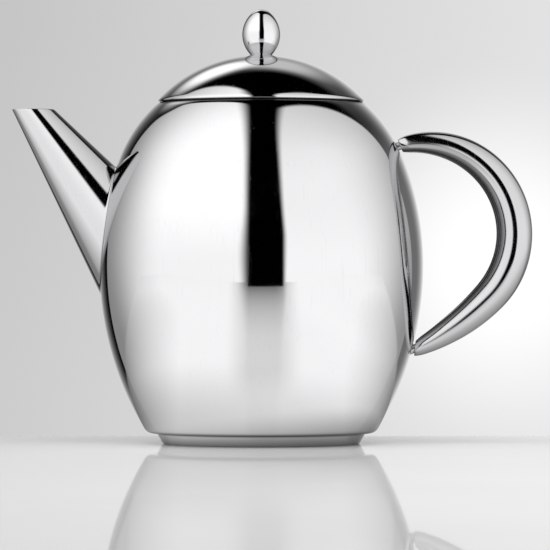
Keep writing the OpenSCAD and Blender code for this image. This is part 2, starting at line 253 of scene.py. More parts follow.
def bezier(start, corner, end, steps):
    start, corner, end = Vector(start), Vector(corner), Vector(end)
    return [tuple(start * (1 - t) ** 2 + corner * (2 * t * (1 - t)) + end * t * t)
            for t in np.linspace(0, 1, steps + 1)]


def rounded(corners, steps=5, most=0.49):
    # corners are (x, z, radius); each corner of the closed outline becomes a small arc, which takes up
    # less than half of a side
    line = []
    count = len(corners)
    for i, (x, z, r) in enumerate(corners):
        here = Vector((x, z))
        before = Vector(corners[i - 1][:2]) - here
        after = Vector(corners[(i + 1) % count][:2]) - here
        if r <= 0:
            line.append((x, z))
            continue
        half = before.angle(after) / 2
        cut = min(r / tan(half), before.length * most, after.length * most)
        start, end = here + before.normalized() * cut, here + after.normalized() * cut
        line += bezier(start, here, end, steps)
    return line


def bridge(first, second):
    # faces between two closed rings of vertices
    after = [*range(1, len(first)), 0]
    return [(first[k], first[n], second[n], second[k]) for k, n in enumerate(after)]


def stitch(rings, closed=False):
    # vertices and faces of a skin over rings of points
    size = len(rings[0])
    loops = [range(i * size, (i + 1) * size) for i in range(len(rings))]
    pairs = zip(loops, loops[1:] + loops[:1] if closed else loops[1:])
    return [p for ring in rings for p in ring], [face for pair in pairs for face in bridge(*pair)]


def onCircle(r, k, count):
    a = 2 * pi * k / count
    return r * cos(a), r * sin(a)


def lathe(name, outline, segments):
    # turns a closed outline about the pot's axis; points on the axis become single vertices
    verts, faces, rings = [], [], []
    for r, z in outline:
        if abs(r) < 1e-6:
            rings.append([len(verts)] * segments)
            verts.append((0, 0, z))
            continue
        rings.append(list(range(len(verts), len(verts) + segments)))
        verts += [(*onCircle(r, k, segments), z) for k in range(segments)]
    for ring, after in zip(rings, rings[1:] + rings[:1]):
        for quad in bridge(ring, after):
            face = [v for j, v in enumerate(quad) if v not in quad[:j]]
            if len(face) > 2:
                faces.append(face)
    return addMesh(name, verts, faces)


def bakeModifiers(piece, sharp=crease):
    graph = bpy.context.evaluated_depsgraph_get()
    mesh = bpy.data.meshes.new_from_object(piece.evaluated_get(graph))
    piece.modifiers.clear()
    piece.data = mesh
    mesh.set_sharp_from_angle(angle=radians(sharp))


def carve(piece, cutter):
    cut = piece.modifiers.new("port", "BOOLEAN")
    cut.operation = "DIFFERENCE"
    cut.solver = "EXACT"
    cut.object = cutter
    bakeModifiers(piece)
    mesh = cutter.data
    bpy.data.objects.remove(cutter)
    bpy.data.meshes.remove(mesh)


def settle(piece, body, slot, material, *nodes):
    piece.data.materials.clear()
    piece.data.materials.append(material)
    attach(piece, body)
    if nodes:
        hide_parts(*nodes)


# finishes: shared effects are groups, built once and placed in each material with their own values
def newGroup(name, inputs, outputs):
    group = bpy.data.node_groups.new(name, "ShaderNodeTree")
    for label, value in inputs.items():
        socket = group.interface.new_socket(label, in_out="INPUT", socket_type="NodeSocketFloat")
        socket.default_value = value
    for label in outputs:
        group.interface.new_socket(label, in_out="OUTPUT", socket_type="NodeSocketFloat")
    source = group.nodes.new("NodeGroupInput").outputs
    sink = group.nodes.new("NodeGroupOutput").inputs
    return group, source, sink


def buildTurnedLines():
    # fine lines that run round the pot's axis, left by spinning and polishing
    group, source, sink = newGroup("turnedLines", {"Lines per mm": 3.0, "Break": 1.5}, ["Lines"])
    where = addNode(group, "TexCoord").outputs["Object"]
    split = addNode(group, "SeparateXYZ", Vector=where).outputs
    angle = calc(group, "ARCTAN2", split["Y"], split["X"])
    spread = calc(group, "SQRT", calc(group, "ADD", calc(group, "POWER", split["X"], 2.0),
                                      calc(group, "POWER", split["Y"], 2.0)))
    pitch = product(group, source["Lines per mm"], 1 / mm)
    lines = addNode(group, "CombineXYZ", X=product(group, angle, source["Break"]),
                    Y=product(group, spread, pitch), Z=product(group, split["Z"], pitch))
    noise = addNode(group, "TexNoise", Vector=lines.outputs[0], Scale=1.0, Detail=3.0, Roughness=0.6)
    feed(group, sink["Lines"], noise.outputs[0])
    return group


def buildHandMarks():
    # broad, faint marks of handling and wiping
    group, source, sink = newGroup("handMarks", {"Size mm": 22.0, "Least": 0.45, "Most": 0.75}, ["Marks"])
    where = addNode(group, "TexCoord").outputs["Object"]
    scale = calc(group, "DIVIDE", 1 / mm, source["Size mm"])
    noise = addNode(group, "TexNoise", Vector=where, Scale=scale, Detail=6.0, Roughness=0.62,
                    Distortion=0.8)
    feed(group, sink["Marks"], ease(group, noise.outputs[0], source["Least"], source["Most"]))
    return group


def buildHairScratches():
    # short, straight, hair-fine scratches in three directions
    group, source, sink = newGroup("hairScratches", {"Spacing mm": 1.2, "Rarity": 0.68}, ["Scratches"])
    where = addNode(group, "TexCoord").outputs["Object"]
    scale = calc(group, "DIVIDE", 1 / mm, source["Spacing mm"])
    tilts = (0.4, 0.9, 0.2), (1.3, 0.3, 1.1), (2.2, 1.7, 0.6)
    stretch, softness = (1.0, 1.0, 0.035), 0.06
    total = None
    for tilt in tilts:
        lay = addNode(group, "Mapping", Vector=where, Rotation=tilt, Scale=stretch)
        noise = addNode(group, "TexNoise", Vector=lay.outputs[0], Scale=scale, Detail=1.0)
        high = calc(group, "ADD", source["Rarity"], softness)
        found = ease(group, noise.outputs[0], source["Rarity"], high)
        total = found if total is None else calc(group, "MAXIMUM", total, found)
    feed(group, sink["Scratches"], total)
    return group


def buildEdgeRub():
    # edges that hands and cloths reach first
    group, source, sink = newGroup("edgeRub", {"From": 0.52, "To": 0.62}, ["Rub"])
    sharpness = addNode(group, "NewGeometry").outputs["Pointiness"]
    feed(group, sink["Rub"], ease(group, sharpness, source["From"], source["To"]))
    return group


turnedLines = buildTurnedLines()
handMarks = buildHandMarks()
hairScratches = buildHairScratches()
edgeRub = buildEdgeRub()


def place(tree, group, **values):
    return addNode(tree, "Group", {"node_tree": group}, **values).outputs[0]


def paintedInsideShade(tree, look, where):
    # a share of the colour, painted shade: the inside of the handle's bow and its underside are darker,
    # standing for the dark gap to the body that they mirror
    outward = addNode(tree, "TexCoord").outputs["Normal"]
    inward = vector(tree, "NORMALIZE", vector(tree, "SUBTRACT", Vector(look["middle"]) * mm, where))
    share = product(tree, ease(tree, along(tree, inward, outward), *look["inward"]),
                    ease(tree, along(tree, outward, upDir), *look["downward"]))
    # their image in the body is no darker than the rest of the handle's
    mirrored = calc(tree, "SUBTRACT", 1.0, addNode(tree, "LightPath").outputs["Is Camera Ray"])
    return calc(tree, "MAXIMUM", share, mirrored)


def swayNormal(tree, look, where):
    # normals lean to the right on top of the handle's bow and at its ends, which moves what they mirror
    facing = addNode(tree, "NewGeometry").outputs["Normal"]
    level = along(tree, where, upDir)
    upperEnd = product(tree, easeMm(tree, along(tree, where, (1, 0, 0)), *look["upperX"]),
                       easeMm(tree, level, *look["upperZ"]))
    ends = calc(tree, "ADD", upperEnd, easeMm(tree, level, *look["lowerZ"]))
    top = calc(tree, "MAXIMUM", along(tree, facing, upDir), 0.0)
    lean = calc(tree, "MULTIPLY_ADD", top, look["top"], product(tree, ends, look["ends"]))
    return vector(tree, "NORMALIZE", vector(tree, "ADD", facing, vector(tree, "SCALE", rightDir, lean)))


def steel(name, look):
    material = bpy.data.materials.new(name)
    material.use_nodes = True
    tree = material.node_tree
    shader = tree.nodes["Principled BSDF"]
    shader.inputs["Metallic"].default_value = 1.0
    shader.inputs["Anisotropic"].default_value = look["grain"]
    where = addNode(tree, "TexCoord").outputs["Object"]
    lines = place(tree, turnedLines, **{"Lines per mm": look["linesPerMm"], "Break": look["lineBreak"]})
    marks = place(tree, handMarks, **{"Size mm": look["markSize"]})
    scratches = place(tree, hairScratches, **{"Spacing mm": look["scratchSpacing"]})
    rub = place(tree, edgeRub)
    # colour: marks and scratches are a shade darker than clean metal, and painted shade darkens a band
    # along each seam
    shade = calc(tree, "MULTIPLY_ADD", marks, look["markShade"],
                 product(tree, scratches, look["scratchShade"]))
    shade = calc(tree, "MULTIPLY_ADD", calc(tree, "SUBTRACT", lines, 0.5), look["lineShade"], shade)
    colour = addNode(tree, "Mix", {"data_type": "RGBA"})
    feed(tree, colour.inputs[0], calc(tree, "MAXIMUM", shade, 0.0))
    colour.inputs[6].default_value = (*look["colour"], 1)
    colour.inputs[7].default_value = (*look["shadeColour"], 1)
    shown, shares = colour.outputs[2], []
    if look["inside"]:
        shares.append(paintedInsideShade(tree, look["inside"], where))
    for level, core, half, darkest in look["seams"]:
        off = calc(tree, "ABSOLUTE", calc(tree, "SUBTRACT", along(tree, where, upDir), level * mm))
        shares.append(easeMm(tree, off, core, half, darkest, 1.0))
    for share in shares:
        shown = vector(tree, "SCALE", shown, share)
    feed(tree, shader.inputs["Base Color"], shown)
    # gloss
    rough = look["rough"]
    for kind, mask in (("mark", marks), ("scratch", scratches), ("line", lines), ("rub", rub)):
        rough = calc(tree, "MULTIPLY_ADD", mask, look[kind + "Rough"], rough)
    feed(tree, shader.inputs["Roughness"], rough)
    # relief: lines, scratches and the slow waves of pressed sheet
    wave = addNode(tree, "TexNoise", Vector=where, Scale=1 / mm / look["waveSize"], Detail=1.0)
    height = product(tree, wave.outputs[0], look["waveDepth"])
    height = calc(tree, "MULTIPLY_ADD", lines, look["lineDepth"], height)
    height = calc(tree, "MULTIPLY_ADD", scratches, -look["scratchDepth"], height)
    bump = addNode(tree, "Bump", Height=height, Distance=1.0, Strength=1.0)
    if look["sway"]:
        feed(tree, bump.inputs["Normal"], swayNormal(tree, look["sway"], where))
    feed(tree, shader.inputs["Normal"], bump.outputs[0])
    return material


# depths are in metres, since the bump's distance is 1; a band of painted seam shade is its height, the
# half width of its dark core, half its width, and its darkest share
plainLook = {
    "colour": (0.83, 0.83, 0.84), "shadeColour": (0.62, 0.62, 0.63), "grain": 0.0,
    "linesPerMm": 3.0, "lineBreak": 1.5, "lineShade": 0.02, "lineRough": 0.012, "lineDepth": 2e-8,
    "markSize": 24.0, "markShade": 0.05, "markRough": 0.025,
    "scratchSpacing": 1.1, "scratchShade": 0.08, "scratchRough": 0.05, "scratchDepth": 3e-8,
    "rough": 0.03, "rubRough": 0.03, "waveSize": 45.0, "waveDepth": 1.2e-5,
    "seams": (), "inside": None, "sway": None,
}
polishedSteel = steel("polishedSteel", {
    # painted shade: dark bands round the foot's seam and under the lid's hem
    **plainLook, "seams": ((4.5, 0.3, 1.0, 0.45), (136.5, 0.39, 1.3, 0.35)),
})
# the spout's steel is the polished steel painted darker: a painted shade
spoutSteelPaintedShade = steel("spoutSteelPaintedShade", {
    **plainLook, "colour": (0.69, 0.69, 0.7), "shadeColour": (0.52, 0.52, 0.53), "rough": 0.06,
})
# the handle's steel is the polished steel painted darker: a painted shade
handleSteelPaintedShade = steel("handleSteelPaintedShade", {
    **plainLook, "colour": (0.65, 0.65, 0.66), "shadeColour": (0.5, 0.5, 0.51), "rough": 0.08,
    # painted shade on the inside and underside of the bow
    "inside": {
        "middle": (65.0, 0.0, 84.1),  # of the bow
        "inward": (0.2, 0.65, 1.0, 0.3), "downward": (0.0, -0.6, 1.0, 0.66),
    },
    "sway": {
        "top": 0.22, "ends": 0.06, "upperX": (80.0, 64.0), "upperZ": (90.0, 100.0), "lowerZ": (64.0, 50.0),
    },
})
turnedSteel = steel("turnedSteel", {
    **plainLook, "colour": (0.70, 0.70, 0.71), "shadeColour": (0.46, 0.46, 0.47), "grain": 0.45,
    "linesPerMm": 5.0, "lineBreak": 0.8, "lineShade": 0.55, "lineRough": 0.16, "lineDepth": 1.5e-6,
    "markShade": 0.1, "markRough": 0.06, "rough": 0.2, "rubRough": -0.05,
})
basketSteel = steel("basketSteel", {
    **plainLook, "colour": (0.74, 0.74, 0.75), "shadeColour": (0.52, 0.52, 0.53), "grain": 0.2,
    "linesPerMm": 4.0, "lineBreak": 1.2, "lineShade": 0.3, "lineRough": 0.1, "lineDepth": 6e-7,
    "markShade": 0.12, "markRough": 0.08, "rough": 0.16, "rubRough": -0.04,
})
weldSteel = steel("weldSteel", {
    **plainLook, "colour": (0.56, 0.555, 0.55), "shadeColour": (0.34, 0.33, 0.32),
    "markSize": 1.6, "markShade": 0.6, "markRough": 0.2, "rough": 0.24,
    "waveSize": 0.9, "waveDepth": 3e-5,
})
fastenerSteel = steel("fastenerSteel", {
    **plainLook, "colour": (0.60, 0.60, 0.61), "shadeColour": (0.40, 0.40, 0.41), "grain": 0.3,
    "linesPerMm": 8.0, "lineShade": 0.4, "lineRough": 0.12, "lineDepth": 1e-6, "rough": 0.2,
})
print("finishes made")


# body: an egg of three arcs, with a level seat round its mouth
body = {
    "radius": 65.0, "waist": 71.4, "lowerArc": 127.5, "upperArc": 117.5, "shoulderAngle": 22.0,
    "shoulderArc": 57.0, "heel": 4.0, "mouth": 41.0, "seat": 4.2, "wall": 0.8, "foot": 4.2,
    "openingBelow": 36.5, "mouthBend": (3.0, 1.2),
    "steps": (14, 56, 34, 30),  # points along the heel and the three arcs
}
lowX = body["radius"] - body["lowerArc"]
highX = body["radius"] - body["upperArc"]
lean = radians(body["shoulderAngle"])
shoulderX = highX + (body["upperArc"] - body["shoulderArc"]) * cos(lean)
shoulderZ = body["waist"] + (body["upperArc"] - body["shoulderArc"]) * sin(lean)
wall = body["wall"]


def shoulderTop(inset, r):
    return shoulderZ + sqrt((body["shoulderArc"] - inset) ** 2 - (r - shoulderX) ** 2)


mouthZ = shoulderTop(0, body["mouth"])


def eggLine(inset, base, heel, top):
    # the egg's side from its flat bottom to the height top, set in from the outer face
    low = body["lowerArc"] - inset
    heelZ = base + heel
    heelX = lowX + sqrt((low - heel) ** 2 - (body["waist"] - heelZ) ** 2)
    heelEnd = degrees(atan2(heelZ - body["waist"], heelX - lowX))
    shoulder = body["shoulderArc"] - inset
    topAngle = degrees(asin((top - shoulderZ) / shoulder))
    heelSteps, lowSteps, highSteps, topSteps = body["steps"]
    return (arc(heelX, heelZ, heel, -90, heelEnd, heelSteps)
            + arc(lowX, body["waist"], low, heelEnd, 0, lowSteps)[1:]
            + arc(highX, body["waist"], body["upperArc"] - inset, 0, body["shoulderAngle"], highSteps)[1:]
            + arc(shoulderX, shoulderZ, shoulder, body["shoulderAngle"], topAngle, topSteps)[1:])


def eggRadius(z):
    shoulderStart = body["waist"] + body["upperArc"] * sin(lean)
    if z < body["waist"]:
        return lowX + sqrt(body["lowerArc"] ** 2 - (z - body["waist"]) ** 2)
    if z < shoulderStart:
        return highX + sqrt(body["upperArc"] ** 2 - (z - body["waist"]) ** 2)
    return shoulderX + sqrt(max(body["shoulderArc"] ** 2 - (z - shoulderZ) ** 2, 0))


spout = {
    "reach": 93.1, "mouthZ": 134.3, "lean": 36.4, "tip": 6.8, "flare": 10.7, "sleeve": 9.5,
    "port": (20.0, 100.0), "rootSink": 0.3, "weld": 0.9, "weldSpread": 0.8, "weldSink": 0.05,
    # shares of the rounding, inwards and down
    "lipRound": 0.22, "lipSteps": ((0.1, 0.45), (0.45, 0.1), (1.0, 0.0)),
}
spoutLean = radians(spout["lean"])
spoutDown = Vector((sin(spoutLean), 0, -cos(spoutLean)))
spoutAcross = Vector((cos(spoutLean), 0, sin(spoutLean)))
spoutMouth = Vector((-spout["reach"], 0, spout["mouthZ"]))
spoutFlare = tan(radians(spout["flare"]))


def spoutSide(a):
    return spoutAcross * cos(a) + Vector((0, sin(a), 0))


def portBar(radius, count=48):
    # a round bar along the spout's axis that opens a wall for the tea
    sides = [spoutSide(2 * pi * k / count) * radius for k in range(count)]
    ends = [spoutMouth + spoutDown * reach for reach in spout["port"]]
    verts, faces = stitch([[end + side for side in sides] for end in ends])
    faces += [tuple(range(count)), tuple(range(count, 2 * count))]
    return addMesh("portBar", verts, faces)


def buildBody():
    bend, fold = body["mouthBend"]
    slope = acos((body["mouth"] - shoulderX) / body["shoulderArc"])
    outer = eggLine(0, body["foot"], body["heel"], mouthZ - bend * cos(slope))
    rim = bezier(outer[-1], (body["mouth"], mouthZ), (body["mouth"] - fold, mouthZ), 12)[1:]
    neck = body["mouth"] - body["seat"]
    inner = eggLine(wall, body["foot"] + wall, body["heel"] - wall, mouthZ - wall)[::-1]
    below = body["openingBelow"]
    outline = (outer + rim + [(neck, mouthZ), (neck, mouthZ - wall)] + inner
               + [(below, body["foot"] + wall), (below, body["foot"])])
    shell = lathe("outerShell", outline, 288)
    carve(shell, portBar(spout["sleeve"]))
    settle(shell, "pot", "polished_steel", polishedSteel, "outer_shell")


liner = {"gap": 3.6, "floor": 9.0, "heel": 12.0, "lip": 1.2, "lipRounds": (0.15, 0.3)}


def buildLiner():
    inset, floor, heel = wall + liner["gap"], liner["floor"], liner["heel"]
    neck, lipZ = body["mouth"] - body["seat"], mouthZ - liner["lip"]
    outerRound, innerRound = liner["lipRounds"]
    outer = eggLine(inset, floor, heel, shoulderTop(inset, neck))
    inner = eggLine(inset + wall, floor + wall, heel - wall, shoulderTop(inset + wall, neck - wall))[::-1]
    lip = rounded([(neck, lipZ, 0), (neck, mouthZ, outerRound), (neck - wall, mouthZ, innerRound),
                   (neck - wall, lipZ, 0)])
    piece = lathe("innerLiner", [(0, floor)] + outer + lip + inner + [(0, floor + wall)], 192)
    carve(piece, portBar(spout["sleeve"] - wall))
    settle(piece, "pot", "brushed_steel", turnedSteel, "inner_liner")


foot = {"top": 41.9, "taper": 28.0, "round": 1.4, "recess": 36.5, "rise": 1.6, "recessRounds": (0.8, 0.5)}


def buildFoot():
    taper = radians(foot["taper"])
    height, edge, recess, rise = body["foot"], foot["round"], foot["recess"], foot["rise"]
    upperRound, lowerRound = foot["recessRounds"]
    roundX = foot["top"] - (edge + (height - edge) * sin(taper)) / cos(taper)
    inner = foot["top"] - wall / cos(taper)
    outline = ([(0, rise)]
               + rounded([(recess - rise, rise, upperRound), (recess, 0, lowerRound), (roundX, 0, 0)])[:-1]
               + arc(roundX, edge, edge, -90, -foot["taper"], 10)
               + [(foot["top"], height), (inner, height)]
               + arc(roundX, edge, edge - wall, -foot["taper"], -90, 6)
               + [(recess + wall, wall), (recess + wall - rise, rise + wall), (0, rise + wall)])
    settle(lathe("baseCap", outline, 256), "pot", "polished_steel", polishedSteel, "base_cap")


buildBody()
buildLiner()
buildFoot()
print("body, liner and foot turned")


def buildSpout():
    # a straight cone from its level mouth to the body, with a small weld fillet round its root
    count, rows, weldSteps = 192, 72, 7
    angles = [2 * pi * k / count for k in range(count)]
    skin = wall / cos(radians(spout["flare"]))
    lip, weld = spout["lipRound"], spout["weld"]

    def point(distance, a, inset):
        radius = spout["tip"] + distance * spoutFlare - inset
        return spoutMouth + spoutDown * distance + spoutSide(a) * radius

    def mouthAt(a, inset, drop):
        rise = sin(spoutLean) * cos(a)
        return ((spout["tip"] - inset) * rise + drop) / (cos(spoutLean) - spoutFlare * rise)

    def rootAt(a, inset, farthest=90.0, halvings=48):
        low, high = 0.0, farthest
        for _ in range(halvings):
            middle = (low + high) / 2
            p = point(middle, a, inset)
            low, high = (low, middle) if hypot(p.x, p.y) < eggRadius(p.z) else (middle, high)
        return low

    def bodyNormal(p, step=0.01):
        slope = (eggRadius(p.z + step) - eggRadius(p.z - step)) / (2 * step)
        around = hypot(p.x, p.y)
        return Vector((p.x / around, p.y / around, -slope)).normalized()

    def walls(inset, further):
        # rings from the lip down to the root
        ends = [(a, mouthAt(a, inset, lip), rootAt(a, inset) + further) for a in angles]
        return [[point(top + (root - top) * (row / rows), a, inset) for a, top, root in ends]
                for row in range(rows + 1)]

    rings = walls(skin, spout["rootSink"])[::-1]
    # the lip's two small roundings
    steps = [(lip * inset, lip * drop) for inset, drop in spout["lipSteps"]]
    for inset, drop in [(skin - inset, drop) for inset, drop in steps] + steps[::-1]:
        rings.append([point(mouthAt(a, inset, drop), a, inset) for a in angles])
    rings += walls(0, -weld)
    # weld fillet, which runs out on the body
    fillet = []
    for a in angles:
        root, side = rootAt(a, 0), spoutSide(a)
        corner = point(root, a, 0)
        normal = bodyNormal(corner)
        end = corner + (side - normal * side.dot(normal)).normalized() * weld * spout["weldSpread"]
        end -= normal * (hypot(end.x, end.y) - eggRadius(end.z) + spout["weldSink"])
        fillet.append(bezier(point(root - weld, a, 0), corner, end, weldSteps))
    rings += list(zip(*fillet))[1:]
    settle(addMesh("spoutCone", *stitch(rings, True)), "pot", "polished_steel", spoutSteelPaintedShade, "spout")


buildSpout()
print("spout drawn")


handle = {
    "bowRadius": 36.5, "bowRise": 12.7, "tailAngle": -42.5, "tailRadius": 86.0,
    "thick": 14.4, "endThick": 6.2, "fullAt": 0.55, "thinning": 2.35, "endRound": 3.5, "sheet": 0.8,
    "gap": 1.0, "stud": 1.7, "studLean": 9.0, "endTurn": 0.7, "endTurnLength": 14.0,
    "seam": 0.05, "seamRound": 0.12,
}


def buildHandle():
    h = handle

    def outward(a):
        return Vector((cos(a), sin(a)))

    def turnTo(r, line, reach):
        return acos((r * r + line.length_squared - reach * reach) / (2 * r * line.length))

    # the centre line: a bow, then a flatter tail, each up to the body
    bow = Vector((body["radius"], body["waist"] + h["bowRise"]))
    tailAngle = radians(h["tailAngle"])
    tail = bow + (h["bowRadius"] - h["tailRadius"]) * outward(tailAngle)
    shoulderMiddle, sideMiddle = Vector((shoulderX, shoulderZ)), Vector((lowX, body["waist"]))
    toShoulder, toSide = shoulderMiddle - bow, sideMiddle - tail
    topAngle = atan2(toShoulder.y, toShoulder.x)
    topAngle -= turnTo(h["bowRadius"], toShoulder, body["shoulderArc"] + h["gap"])
    endAngle = atan2(toSide.y, toSide.x)
    endAngle += turnTo(h["tailRadius"], toSide, body["lowerArc"] + h["gap"])
    bowLength = h["bowRadius"] * (topAngle - tailAngle)
    length = bowLength + h["tailRadius"] * (tailAngle - endAngle)
    tipHalf = h["stud"] / cos(radians(h["studLean"])) + h["sheet"]

    def angleAt(s):
        if s < bowLength:
            return topAngle - s / h["bowRadius"]
        return tailAngle - (s - bowLength) / h["tailRadius"]

    def middle(s):
        out = outward(angleAt(s))
        return bow + h["bowRadius"] * out if s < bowLength else tail + h["tailRadius"] * out

    def halfAt(s):
        u = s / length
        away = 1 - u / h["fullAt"] if u < h["fullAt"] else (u - h["fullAt"]) / (1 - h["fullAt"])
        swell = (h["thick"] - (h["thick"] - h["endThick"]) * away ** h["thinning"]) / 2
        end = min(s, length - s, h["endRound"]) / h["endRound"]
        return tipHalf + (swell - tipHalf) * sqrt(max(1 - (1 - end) ** 2, 0))

    def lieAlong(a, out):
        return -h["endTurn"] * (cos(a) * out.x + sin(a) * out.y) / (
            sin(a) * out.x - cos(a) * out.y)

    topSlope = lieAlong(topAngle, middle(0) - shoulderMiddle)
    tailSlope = lieAlong(endAngle, middle(length) - sideMiddle)

    def ringAt(s, turns, side):
        a, half = angleAt(s), halfAt(s)
        slope = topSlope * max(0, 1 - s / h["endTurnLength"])
        slope += tailSlope * max(0, 1 - (length - s) / h["endTurnLength"])
        out = Vector((cos(a) + slope * sin(a), sin(a) - slope * cos(a)))
        ring = []
        for angle, inset in turns:
            p = middle(s) + (half - inset) * cos(angle) * out
            ring.append((p.x, side * (max((half - inset) * sin(angle), 0) + h["seam"] / 2), p.y))
        return ring

    endCount, count, sides = 12, 150, 40
    endSteps = [h["endRound"] * (1 - cos(pi / 2 * k / endCount)) for k in range(endCount + 1)]
    step = (length - 2 * h["endRound"]) / count
    stops = endSteps + [h["endRound"] + k * step for k in range(1, count)]
    stops += [length - e for e in endSteps[::-1]]
    # once round the section: the outside, soft beside the seam, and back along the inside
    turns = [(pi * k / sides, 0.0 if 0 < k < sides else h["seamRound"]) for k in range(sides + 1)]
    turns += [(pi * k / sides, h["sheet"]) for k in range(sides, -1, -1)]
    last = (len(stops) - 1) * len(turns)
    for name, side, node in (("handleNear", -1, "handle_near_half"), ("handleFar", 1, "handle_far_half")):
        verts, faces = stitch([ringAt(s, turns, side) for s in stops])
        for k in range(sides):
            back = len(turns) - 1 - k
            faces += [(end + k, end + k + 1, end + back - 1, end + back) for end in (0, last)]
        settle(addMesh(name, verts, faces), "pot", "polished_steel", handleSteelPaintedShade, node)


buildHandle()
print("handle swept")


lid = {
    "dome": 56.6, "hem": 0.9, "overhang": 0.4, "bead": 0.8, "beadMiddle": 0.48, "beadTuck": 0.5,
    "hemLift": 0.05, "hemGap": 0.2, "hole": 2.1, "plugDepth": 7.0, "plugRound": 3.0, "plugRadius": 33.1,
    "flangeLift": 1.2, "flangeBend": 2.0, "flangeRound": 0.5,
}
lidRadius = body["mouth"] + lid["overhang"]
hemZ = mouthZ + lid["hem"]
domeZ = hemZ - sqrt(lid["dome"] ** 2 - lidRadius ** 2)
domeTop = domeZ + lid["dome"]


def domeLine(inset, start, end, count):
    # a line on the dome from radius start to radius end
    r = lid["dome"] - inset
    return [(r * sin(a), domeZ + r * cos(a))
            for a in np.linspace(asin(start / r), asin(end / r), count)]


def buildLid():
    # the hem is a half-round bead
    outer = domeLine(0, lid["hole"], lidRadius - lid["bead"], 90)
    middle = Vector((lidRadius, mouthZ + lid["hem"] * lid["beadMiddle"]))
    over = bezier(outer[-1], (lidRadius, hemZ), middle, 8)
    under = bezier(middle, (lidRadius, mouthZ), (lidRadius - lid["beadTuck"], mouthZ), 8)
    inside = [(lidRadius - wall, mouthZ + lid["hemLift"]), (lidRadius - wall, hemZ)]
    inner = domeLine(wall, lid["hole"], lidRadius - wall - lid["hemGap"], 50)[::-1]
    dome = lathe("lidDome", outer + over[1:] + under[1:] + inside + inner, 256)
    settle(dome, "lid", "polished_steel", polishedSteel, "lid_dome")

    flange, bend = mouthZ + lid["flangeLift"], lid["flangeBend"]
    inside = lid["dome"] - wall
    lowEdge, highEdge = (sqrt(inside ** 2 - (z - domeZ) ** 2) for z in (flange, flange + wall))
    bottom, r, edge = mouthZ - lid["plugDepth"], lid["plugRadius"], lid["plugRound"]
    outline = ([(lowEdge, flange)]
               + rounded([(r + bend, flange, 0), (r, flange, lid["flangeRound"]), (r, flange - bend, 0)])
               + arc(r - edge, bottom + edge, edge, 0, -90, 10) + [(0, bottom), (0, bottom + wall)]
               + arc(r - edge, bottom + edge, edge - wall, -90, 0, 8)
               + [(r - wall, flange + wall), (highEdge, flange + wall)])
    settle(lathe("lidLiner", outline, 160), "lid", "brushed_steel", turnedSteel, "lid_liner")


knob = {
    "radius": 7.7, "oval": 20.3, "end": 5.6, "sink": 2.0, "grip": 8.1,
    "lowAngle": -80.0, "clear": 0.02, "tuck": 0.06, "seat": 0.004,
}


def buildKnob():
    middle = domeTop - knob["sink"] + knob["oval"] / 2
    end, hole, holeTop = knob["end"], lid["hole"], domeTop + knob["grip"]
    endZ = knob["oval"] / 2 - end
    side = (endZ ** 2 + knob["radius"] ** 2 - end ** 2) / (2 * (knob["radius"] - end))
    joinAngle = degrees(asin(endZ / (side - end)))
    line = arc(0, middle + endZ, end, 90, joinAngle, 28)
    line += arc(knob["radius"] - side, middle, side, joinAngle, -joinAngle, 44)[1:]
    line += arc(0, middle - endZ, end, -joinAngle, knob["lowAngle"], 30)[1:]
    outside = [p for p in line[1:] if hypot(p[0], p[1] - domeZ) > lid["dome"] + knob["clear"]]
    under = domeLine(-knob["seat"], hole, outside[-1][0] - knob["tuck"], 8)[::-1]
    outline = [(0, line[0][1])] + outside + under + [(hole, holeTop), (0, holeTop)]
    settle(lathe("lidKnob", outline, 128), "lid", "polished_steel", polishedSteel, "knob")


buildLid()
buildKnob()
print("lid and knob turned")


basket = {
    "depth": 66.0, "radius": 35.0, "sheet": 0.6, "rimRadius": 40.2, "rim": 0.8, "collar": 9.0,
    "collarRound": 0.12, "bendRounds": (0.75, 0.1), "rimRound": 0.38, "topGap": 0.2,
    "hole": 1.5, "round": 20, "pitch": 6.5, "rows": 7, "ringPitch": 6.0, "rings": 5, "ringHoles": 6,
    "punchRound": 0.1, "punchAngle": 50.0, "crease": 35.0, "inHole": 0.97,
    "floorLip": 4.0, "floorGap": 0.05, "floorRounds": (0.55, 0.28), "lipRound": 0.2,
}
basketZ = mouthZ - basket["depth"]
basketIn = basket["radius"] - basket["sheet"]


def buildRim():
    inner, outer = basketIn - basket["sheet"], basketIn
    top, low, rim = mouthZ + basket["rim"], mouthZ - basket["collar"], basket["rimRadius"]
    lowRound, edge = basket["collarRound"], basket["rimRound"]
    innerBend, outerBend = basket["bendRounds"]
    outline = rounded([(inner, low, lowRound), (inner, top, innerBend), (rim, top, edge),
                       (rim, mouthZ, edge), (outer, mouthZ, outerBend), (outer, low, lowRound)], 6)
    settle(lathe("basketRim", outline, 192), "basket", "basket_steel", basketSteel, "infuser_rim")


